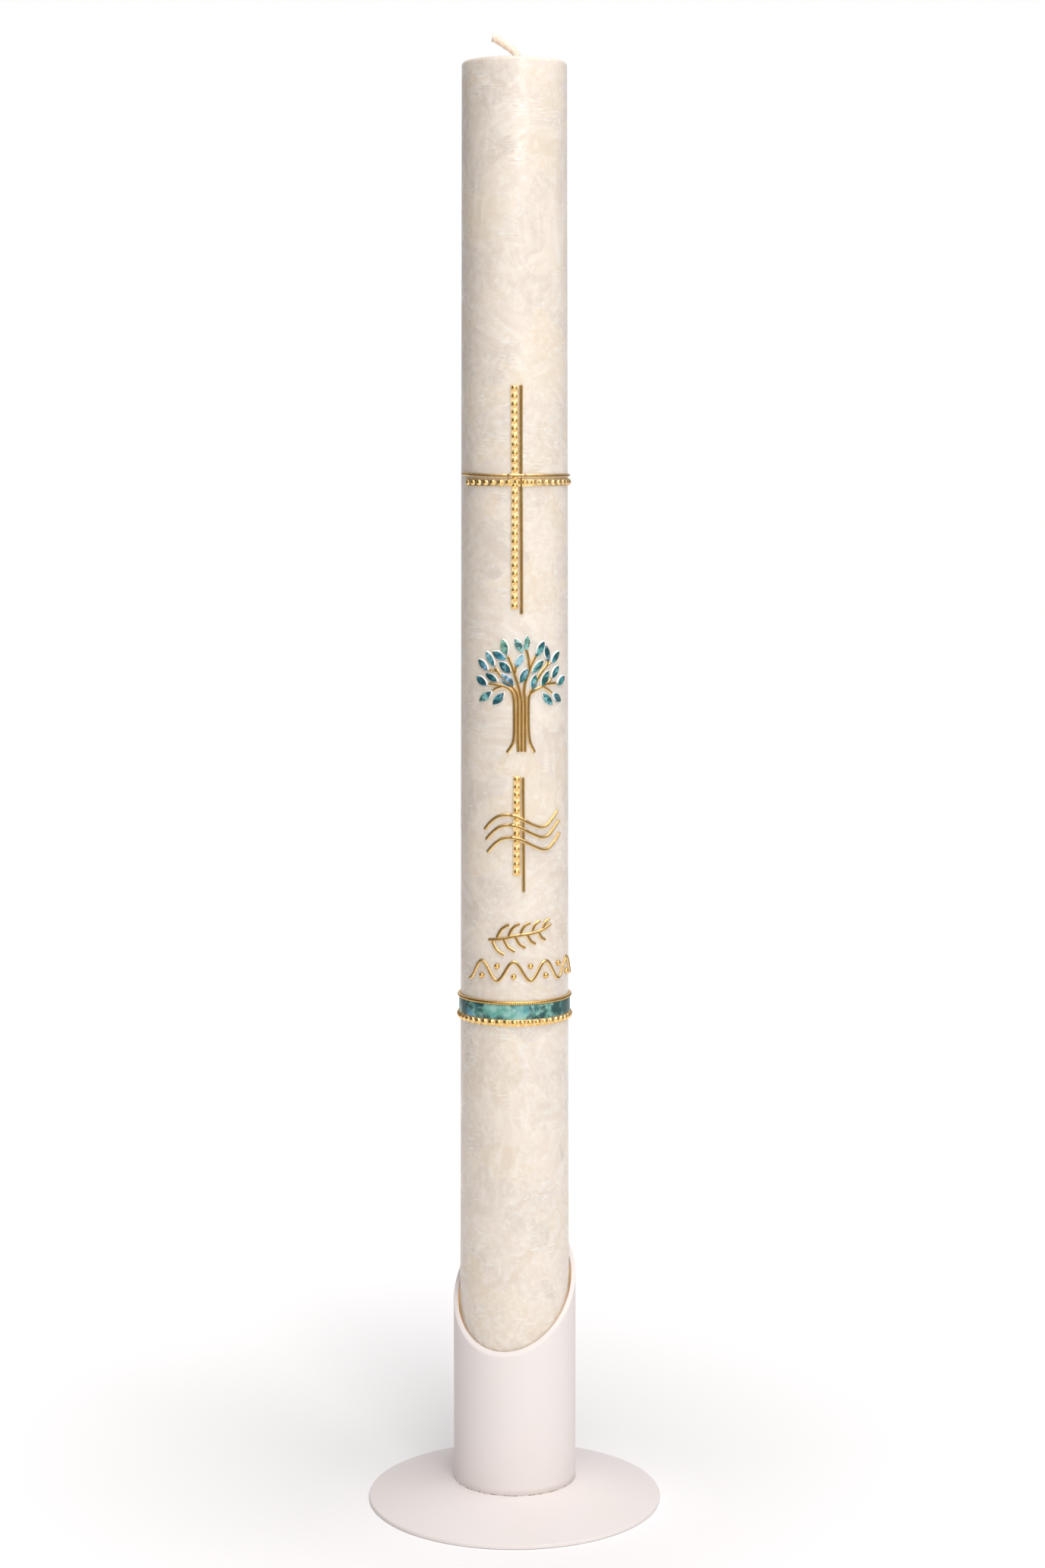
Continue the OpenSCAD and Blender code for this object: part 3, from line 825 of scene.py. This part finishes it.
# Routes of the tree's strips, as steps across and up from the middle of the trunk's foot
TREE_ROUTES = {
    "trunk_strip_1": [
        (-3.8, 0), (-3, 1.2), (-2.2, 2.8), (-1.9, 5.5), (-1.9, 11), (-2, 14),
        (-2.4, 15.9), (-3.3, 17.2), (-5.4, 18.1), (-8.9, 18.5),
    ],
    "trunk_strip_2": [
        (-0.85, 0.2), (-0.95, 4), (-0.95, 9), (-0.95, 13.5), (-1.2, 15.8),
        (-2.1, 17.4), (-3.4, 18.7), (-4.9, 20), (-6, 21.3), (-7.1, 22.9),
    ],
    "trunk_strip_3": [
        (0, 0.2), (0, 6), (0, 13), (-0.4, 15.8), (-1.1, 18.8), (-1.9, 21.4), (-2.8, 24), (-3.6, 26)
    ],
    "trunk_strip_4": [
        (0.95, 0.2), (0.95, 6), (0.95, 12), (0.85, 15), (0.7, 16.6), (1, 18.7),
        (1.85, 21.3), (2.4, 22.9), (3.1, 24.5), (3.9, 26),
    ],
    "trunk_strip_5": [
        (3.6, 0), (2.7, 1.8), (2.2, 3.4), (1.9, 6.9), (1.9, 13.5), (2.2, 15.6),
        (3.1, 17.3), (4.4, 19.7), (5.7, 21.7), (7.3, 23.5), (7.7, 24.5),
    ],
    "branch_low_right": [(2.6, 16), (3.4, 16.6), (4.8, 17.3), (7.3, 18.3), (10.6, 18.4)],
    "branch_fork": [(2.2, 22.8), (1.9, 25.2), (1.3, 27.8)],
    "twig_centre": [(-1.75, 21.4), (-1.65, 22.4), (-1.5, 23.3)],
    "twig_left_high": [(-6.4, 21.9), (-7.6, 22.1), (-8.8, 22.3)],
    "twig_right_high": [(7.3, 23.3), (8, 23.6), (8.6, 24.1)],
    "twig_right_mid": [(7.3, 18.5), (8.2, 19), (8.8, 19.8)],
    "twig_right_low": [(6.2, 17.6), (7.6, 16.9), (9, 15.9)],
    "twig_left_low": [(-5.2, 17.9), (-6.5, 17.5), (-7.7, 16.8)],
}

# Leaves: steps across and up, lean clockwise, length, width, side of the white cut (degrees
# clockwise from up), and the dye's colour at the tip and at the foot
LEAVES = [
    (-4.4, 28.7, -14, 4.8, 2.3, 60, "#82B79D", "#78B09C"),
    (-0.7, 29.2, -28, 4.6, 2.2, 0, "#A6D2C0", "#98CBC2"),
    (1.4, 30.0, 5, 4.2, 1.8, -20, "#69AA90", "#8CC8B6"),
    (-0.6, 25.1, 28, 4.2, 2.1, -20, "#A2CEDC", "#8CC2D2"),
    (5.2, 28.2, 28, 5.0, 2.2, -25, "#1F6A78", "#72B6AE"),
    (7.2, 26.9, -14, 5.0, 1.9, -60, "#1C6468", "#12505A"),
    (10.3, 25.7, 45, 4.6, 2.1, -35, "#5FA596", "#4C9DB2"),
    (4.4, 23.4, 45, 5.0, 2.0, -35, "#63A9A6", "#7DBBB8"),
    (10.2, 21.7, 38, 4.5, 2.2, -45, "#56A19E", "#4A9CA8"),
    (12.9, 19.2, 60, 4.2, 2.4, -20, "#2F8A94", "#5DB1B4"),
    (6.6, 20.1, 28, 5.0, 2.2, -50, "#1D6B62", "#3B8C82"),
    (3.3, 19.1, 10, 4.6, 2.2, -50, "#439A80", "#1E84A8"),
    (0.5, 21.0, 28, 4.6, 2.2, -50, "#1B626E", "#409098"),
    (-4.0, 19.8, -42, 5.2, 2.7, -30, "#B6D8EA", "#8AB8DE"),
    (-4.3, 23.3, -45, 4.4, 2.4, 30, "#2B808A", "#0F4C5C"),
    (-6.0, 26.5, -60, 4.3, 2.2, 5, "#1A6270", "#50A4C0"),
    (-8.4, 25.5, -32, 4.9, 2.0, 45, "#94C8D4", "#3D949E"),
    (-10.6, 23.8, -46, 4.5, 2.1, 45, "#1E6C6A", "#84B8DC"),
    (-8.0, 20.4, -60, 4.1, 2.0, 60, "#0F4C5E", "#4C9EA6"),
    (-11.1, 19.4, -56, 4.3, 2.3, 40, "#2A7A82", "#195C76"),
    (-9.9, 15.2, -126, 5.0, 2.2, 45, "#8AC2BC", "#60A8A8"),
    (-6.1, 14.8, -138, 4.8, 2.3, 30, "#4AA4B4", "#123E44"),
    (7.5, 14.5, 136, 5.0, 2.2, -20, "#72BCC0", "#80C4C0"),
    (10.9, 14.6, 125, 4.2, 2.2, -60, "#A0D2DA", "#7CC0CC"),
]

WAVE = np.array(
    [
        (-8.4, 12.6), (-6.6, 14.6), (-4.6, 16.1), (-2.3, 16.7), (0, 16.4), (2.2, 15.4),
        (4.5, 14.2), (7, 13.2), (9, 13.4), (11, 15), (13.3, 17.2),
    ]
)


def gold_piece(piece, node):
    return finish_piece(piece, "candle", "gold_strip", shared(gold_foil), node)


def over(low, high, rise):
    """Lift of a strip that crosses another between u = low and u = high: rise there, falling off
    smoothly within 1 mm on either side."""

    def lift(u):
        gap = np.clip(np.maximum(low - u, u - high), 0, 1)
        return rise * (1 - gap * gap * (3 - 2 * gap))

    return lift


class MakeCross(Operator):
    """Tall cross: two uprights side by side and two bars laid over them"""

    bl_idname = "ceremony_candle.cross"
    bl_label = "Tall cross"

    def execute(self, context):
        gold_piece(
            pearl_strip(
                "gold_cross_pearls", [(0.05, CROSS_FOOT), (0.15, 280), (0.0, CROSS_HEAD)], 0.8, 1
            ),
            "cross_upright_pearls",
        )
        gold_piece(
            ribbed_strip(
                "gold_cross_upright",
                [(1.92, CROSS_FOOT - 1.3), (1.88, 270), (1.78, 292), (1.8, CROSS_HEAD)],
                2,
            ),
            "cross_upright_wire",
        )
        gold_piece(
            ribbed_strip("gold_cross_bar", around(BAR_Z, -71, 96, 0.45), 3, over(-1, 2.4, 0.38)),
            "cross_bar_wire",
        )
        gold_piece(
            pearl_strip("gold_bar_pearls", around(BAR_Z - 1.8, -61, 92), 0.9, 4), "cross_bar_pearls"
        )
        return {"FINISHED"}


class MakeTree(Operator):
    """Trunk, branches and twigs of the tree, each a ribbed strip"""

    bl_idname = "ceremony_candle.tree"
    bl_label = "Tree"

    def execute(self, context):
        for i, (node, steps) in enumerate(TREE_ROUTES.items()):
            width = 0.7 if node.startswith("twig") and node != "twig_centre" else None
            route = np.array(steps) + TREE
            gold_piece(ribbed_strip("gold_" + node, route, 10 + i, width=width), node)
        return {"FINISHED"}


class MakeLeaves(Operator):
    """Leaves cut from marbled sheet. The outline is what two equal circles share; rings of it go
    up the cut edge and then shrink towards the middle of the face, which is slightly raised"""

    bl_idname = "ceremony_candle.leaves"
    bl_label = "Leaves"

    def execute(self, context):
        thick = sizes().leaf_t / MM
        a = np.linspace(0, 2 * math.pi, 48, endpoint=False)
        along = -np.cos(a)
        for i, (du, dz, lean, long, wide, cut, tip, foot) in enumerate(LEAVES):
            r = (long**2 + wide**2) / (4 * wide)
            half = np.sqrt(np.clip(r**2 - (along * long / 2) ** 2, 0, None)) - (r - wide / 2)
            outline = np.stack([np.sign(np.sin(a)) * half, along * long / 2], -1)
            bend = math.radians(lean)
            turn = np.array([[math.cos(bend), -math.sin(bend)], [math.sin(bend), math.cos(bend)]])
            cut_way = np.array([math.sin(math.radians(cut)), math.cos(math.radians(cut))])
            face = (outline * [0.84, 0.93]) @ turn - 0.2 * cut_way
            outline = outline @ turn
            outward = np.stack([np.sin(a), -np.cos(a)], -1) @ turn
            bare = np.clip((outward @ cut_way + 0.1) / 0.4, 0, 1)
            shrink = np.array([1, 0.97, 0.85, 0.6, 0.3, 0.08])
            rings = np.concatenate([[outline, outline * 0.995], shrink[:, None, None] * face])
            lift = np.concatenate([[0.02, 0.3 * thick], [0.9] * 2, [0.95, 0.98, 1, 1]])
            lift[2:] *= thick
            white = np.outer([1, 1, 1, 0, 0, 0, 0, 0], bare)
            share = np.clip(along * 0.5 + 0.5, 0, 1)
            share = share * share * (3 - 2 * share)
            reach = np.concatenate([[1, 1], shrink])[:, None]
            share = 0.5 + (share[None, :] - 0.5) * reach
            tint = np.array(linear(foot)) + share[..., None] * (
                np.array(linear(tip)) - np.array(linear(foot))
            )
            centre = TREE + [du, dz]
            grid = on_wax(
                rings[..., 0] + centre[0], rings[..., 1] + centre[1], np.tile(lift[:, None], (1, len(a)))
            )
            piece = skin(f"sheet_leaf_{i + 1:02d}", grid, values={"tint": tint, "cut": white})
            node = f"leaf_{i + 1:02d}"
            finish_piece(piece, "candle", "marbled_sheet", shared(leaf_sheet), node)
        return {"FINISHED"}


class MakeWater(Operator):
    """Water cross: pearl and ribbed uprights, and three waves over them"""

    bl_idname = "ceremony_candle.water"
    bl_label = "Water cross"

    def execute(self, context):
        gold_piece(
            pearl_strip("gold_water_pearls", [(0.6, WATER_FOOT), (0.65, WATER_HEAD)], 1.0, 30),
            "water_upright_pearls",
        )
        gold_piece(
            ribbed_strip("gold_water_upright", [(2.5, WATER_FOOT - 4.4), (2.3, WATER_HEAD - 0.4)], 31),
            "water_upright_wire",
        )
        for i, shift in enumerate([(0, 0), (0.5, -2.8), (0.9, -6.2)]):
            route = WAVE + [0, WATER_FOOT] + shift
            strip = ribbed_strip(f"gold_wave_{i + 1}", route, 32 + i, over(-0.4, 2.9, 0.38))
            gold_piece(strip, f"wave_{i + 1}")
        return {"FINISHED"}


def joined(context, pieces, name):
    """The pieces as one, under a new name."""
    with context.temp_override(active_object=pieces[0], selected_editable_objects=pieces):
        bpy.ops.object.join()
    pieces[0].name = name
    return pieces[0]


class MakeSprig(Operator):
    """Sprig: a stem with paired twigs that get shorter towards the tip"""

    bl_idname = "ceremony_candle.sprig"
    bl_label = "Sprig"

    def execute(self, context):
        stem = [(-7.2, -1.6), (-3.4, -1.2), (0.6, -0.3), (4.6, 0.2), (8, 1), (10.6, 2.4)]
        lifted = np.array([0, SPRIG_Z])
        gold_piece(ribbed_strip("gold_sprig_stem", np.array(stem) + lifted, 40), "sprig_stem")
        twigs = []
        for i in range(5):
            for side in (-1, 1):
                reach = 3.6 - 0.35 * i
                foot = np.array([-5.4 + 3.2 * i + 0.7 * side, -1.4 + 0.62 * i + side * 0.65])
                bow = foot + [reach * 0.35, side * reach * 0.62]
                tip = foot + [reach * 0.9, side * reach * 0.98]
                route = np.array([foot, bow, tip]) + lifted
                twigs.append(ribbed_strip(f"twig_{i}_{side}", route, 41 + 2 * i + side))
        gold_piece(joined(context, twigs, "gold_sprig_twigs"), "sprig_twigs")
        return {"FINISHED"}


class MakeScroll(Operator):
    """Running scroll: the line z = mid - swing cos(2 pi u / period), with a bead in each hollow"""

    bl_idname = "ceremony_candle.scroll"
    bl_label = "Running scroll"

    def execute(self, context):
        left, period, count, swing = -14.0, 9.2, 4, 2.6
        u = np.linspace(0, count * period, count * 14 + 1)
        z = SCROLL_Z - swing * np.cos(u * 2 * math.pi / period)
        gold_piece(ribbed_strip("gold_scroll", np.stack([u + left, z], -1), 60), "scroll_wave")
        a = np.linspace(0, 2 * math.pi, 28, endpoint=False)
        rise = np.radians(np.linspace(-12, 86, 11))[:, None]
        beads = []
        for i in range(2 * count - 1):
            centre = (left + (i + 1) * period / 2, SCROLL_Z + (-1, 1)[i % 2] * swing * 0.55)
            grid = on_wax(
                centre[0] + PEARL_R * np.cos(rise) * np.cos(a),
                centre[1] + PEARL_R * np.cos(rise) * np.sin(a),
                np.maximum(0.22 + PEARL_R * np.sin(rise), 0.02) + 0 * a,
            )
            crest = np.ones(grid.shape[:2])
            beads.append(skin(f"bead_{i}", grid, values={"crest": crest, "groove": 0 * crest}))
        gold_piece(joined(context, beads, "gold_beads"), "scroll_beads")
        return {"FINISHED"}


def ring_skin(name, z_mid, across, height_of, values_of, samples):
    """Profile carried right round the wax and closed on itself: at turn a, the point at w is
    at radius(z) + height(a, w), z = mid + w."""
    a = np.linspace(0, 2 * math.pi, samples, endpoint=False)
    z = z_mid + across[None, :] + 0 * a[:, None]
    radius = wax_radius(z) + height_of(a)
    grid = np.stack([radius * np.sin(a)[:, None], -radius * np.cos(a)[:, None], z], -1)
    return skin(name, grid, wrap_rows=True, values=values_of(a))


class MakeBand(Operator):
    """Band: marbled strip between a ribbed ring and a ring of pearls, all carried round the wax.
    A pearl's height is 0.3 + 0.75 sqrt(1 - (s^2 + w^2) / 0.9^2), s and w from its middle"""

    bl_idname = "ceremony_candle.band"
    bl_label = "Band"

    def execute(self, context):
        w = np.concatenate([[-1, -1], np.sin(np.linspace(-0.5, 0.5, 13) * math.pi), [1, 1]])
        h = np.concatenate(
            [[0.02, 0.3], 0.35 + 0.55 * np.cos(np.linspace(-0.5, 0.5, 13) * math.pi), [0.3, 0.02]]
        )
        ribs = 188

        def groove(a):
            return np.outer((1 - np.cos(a * ribs)) / 2, np.clip((h - 0.45) / 0.45, 0, 1))

        gold_piece(
            ring_skin(
                "gold_band_ring",
                BAND_Z + BAND_W + 0.5,
                w * 0.5,
                lambda a: h[None, :] - 0.07 * groove(a),
                # groove also marks where painted shade goes into the ring's grooves between ribs
                lambda a: {
                    "crest": np.tile(np.clip((h - 0.3) / 0.4, 0, 1), (len(a), 1)),
                    "groove": 0.7 * groove(a),
                },
                ribs * 5,
            ),
            "band_wire_ring",
        )
        count, half = 44, sizes().pearl_w / MM / 2
        v = np.concatenate([[-1, -1], np.sin(np.linspace(-0.5, 0.5, 23) * math.pi) * 0.96, [1, 1]])
        flat = np.concatenate([[0.02, 0.3], np.full(23, 0.36), [0.3, 0.02]])

        def pearls(a):
            pitch = 2 * math.pi / count
            off = (a - np.round(a / pitch) * pitch) * wax_radius(BAND_Z)
            rho = (off[:, None] ** 2 + (v * half) ** 2) / RING_PEARL_R**2
            dome = PEARL_FOOT + RING_PEARL_H * np.sqrt(np.clip(1 - rho, 0, 1))
            return np.maximum(flat, np.where(rho < 1, dome, 0))

        gold_piece(
            ring_skin(
                "gold_band_pearls",
                BAND_Z - half,
                v * half,
                pearls,
                lambda a: {
                    "crest": np.clip((pearls(a) - BAND_FLAT) / 0.6, 0, 1),
                    "groove": np.zeros((len(a), len(v))),
                },
                count * 18,
            ),
            "band_pearl_ring",
        )
        flat_w = np.concatenate([[-1, -1, -0.97], np.linspace(-0.9, 0.9, 7), [0.97, 1, 1]])
        flat_h = np.concatenate([[0.02, 0.3, 0.4], np.full(7, 0.43), [0.4, 0.3, 0.02]])
        band = ring_skin(
            "marbled_band_strip",
            BAND_Z + BAND_W / 2,
            flat_w * BAND_W / 2,
            lambda a: flat_h[None, :] + 0 * a[:, None],
            lambda a: {},
            240,
        )
        finish_piece(band, "candle", "marbled_sheet", shared(band_sheet), "marbled_band")
        return {"FINISHED"}


# ---- stage ----


def area_light(name, place, aim, size, watts, colour):
    """Rectangular soft light at a place, turned to face the aim."""
    data = bpy.data.lights.new(name, "AREA")
    data.shape, data.size, data.size_y = "RECTANGLE", size[0], size[1]
    data.energy, data.color = watts, linear(colour)[:3]
    light = bpy.data.objects.new(name, data)
    bpy.context.scene.collection.objects.link(light)
    way = np.array(aim) - np.array(place)
    light.location = place
    light.visible_camera = False
    light.rotation_euler = (
        math.atan2(math.hypot(way[0], way[1]), -way[2]), 0, math.atan2(way[1], way[0]) - math.pi / 2
    )
    return light


class MakeStage(Operator):
    """Pale floor, soft studio light and the camera"""

    bl_idname = "ceremony_candle.stage"
    bl_label = "Stage"

    def execute(self, context):
        scene = context.scene
        mesh = bpy.data.meshes.new("studio_floor")
        corners = [(-0.5, -0.6), (0.5, -0.6), (0.5, 1.4), (-0.5, 1.4)]
        gap_below = 0.0001
        mesh.from_pydata([(x, y, -gap_below) for x, y in corners], [], [(0, 1, 2, 3)])
        mesh.materials.append(studio_floor())
        floor = bpy.data.objects.new("studio_floor", mesh)
        scene.collection.objects.link(floor)

        area_light("key", (0.18, -0.75, 0.66), (0, 0, 0.4), (0.28, 0.54), 2.75, "#FFFDFA")
        area_light("top", (0.15, -0.35, 1.4), (0, 0, 0), (0.9, 0.9), 10.2, "#FFFDFD")

        world = bpy.data.worlds.new("white_studio")
        world.use_nodes = True
        tree = world.node_tree
        tree.nodes.clear()
        way = add(tree, "TexCoord").outputs["Generated"]
        dark_side = add(
            tree, "VectorMath", {0: way, 1: (-0.97, -0.25, 0)}, operation="DOT_PRODUCT"
        ).outputs["Value"]
        front = add(
            tree, "VectorMath", {0: way, 1: (0.2, -0.98, 0)}, operation="DOT_PRODUCT"
        ).outputs["Value"]
        front = add(tree, "MapRange", {"Value": front, "From Min": -1.0}).outputs[0]
        tone = add(
            tree,
            "ValToRGB",
            {"Fac": front},
            stops=[
                (0.0, "#FFFFFF"), (0.06, "#FFFFFF"), (0.25, "#9A969D"), (0.92, "#BAB8B4"),
                (1.0, "#FFFFFF"),
            ],
        ).outputs["Color"]
        shade = add(tree, "MapRange", {"Value": dark_side, "From Min": 0.25, "From Max": 0.9}).outputs[0]
        seen = add(tree, "LightPath").outputs["Is Camera Ray"]
        bright = (1.25, 1.25, 1.25, 1)
        tone = layered(tree, tone, (shade, linear("#564C44")), (seen, bright))
        light = add(tree, "Background", {"Color": tone, "Strength": 0.8})
        add(tree, "OutputWorld", {"Surface": light.outputs[0]})
        scene.world = world
        scene.view_settings.view_transform = "Standard"

        lens = bpy.data.cameras.new("camera")
        lens.lens, lens.sensor_width, lens.shift_y = 68.0, 36.0, -0.0598
        camera = bpy.data.objects.new("camera", lens)
        scene.collection.objects.link(camera)
        camera.location = (0.0022, -0.8135, 0.2994)
        camera.rotation_euler = (math.radians(85), 0, 0)
        scene.camera = camera
        return {"FINISHED"}


class CandlePanel(Panel):
    """Lists the candle's sizes, colours and makers"""

    bl_idname = "VIEW3D_PT_ceremony_candle"
    bl_label = "Ceremony candle"
    bl_space_type = "VIEW_3D"
    bl_region_type = "UI"
    bl_category = "Candle"

    def draw(self, context):
        for group in (context.scene.candle_sizes, context.scene.candle_colours):
            box = self.layout.box()
            for name in group.bl_rna.properties.keys():
                if name not in ("name", "rna_type"):
                    box.prop(group, name)
        for maker in MAKERS:
            self.layout.operator(maker.bl_idname)


MAKERS = (
    MakeStage, MakePlate, MakeTube, MakeCandle, MakeWick, MakeCross, MakeTree, MakeLeaves,
    MakeWater, MakeSprig, MakeScroll, MakeBand,
)
GROUPS = (CandleSizes, CandleColours)


def register():
    for item in (*GROUPS, *MAKERS, CandlePanel):
        bpy.utils.register_class(item)
    bpy.types.Scene.candle_sizes = PointerProperty(type=CandleSizes)
    bpy.types.Scene.candle_colours = PointerProperty(type=CandleColours)


def unregister():
    del bpy.types.Scene.candle_colours
    del bpy.types.Scene.candle_sizes
    for item in reversed((*GROUPS, *MAKERS, CandlePanel)):
        bpy.utils.unregister_class(item)


def main():
    register()
    for maker in MAKERS:
        group, name = maker.bl_idname.split(".")
        getattr(getattr(bpy.ops, group), name)()


if __name__ == "__main__":
    main()
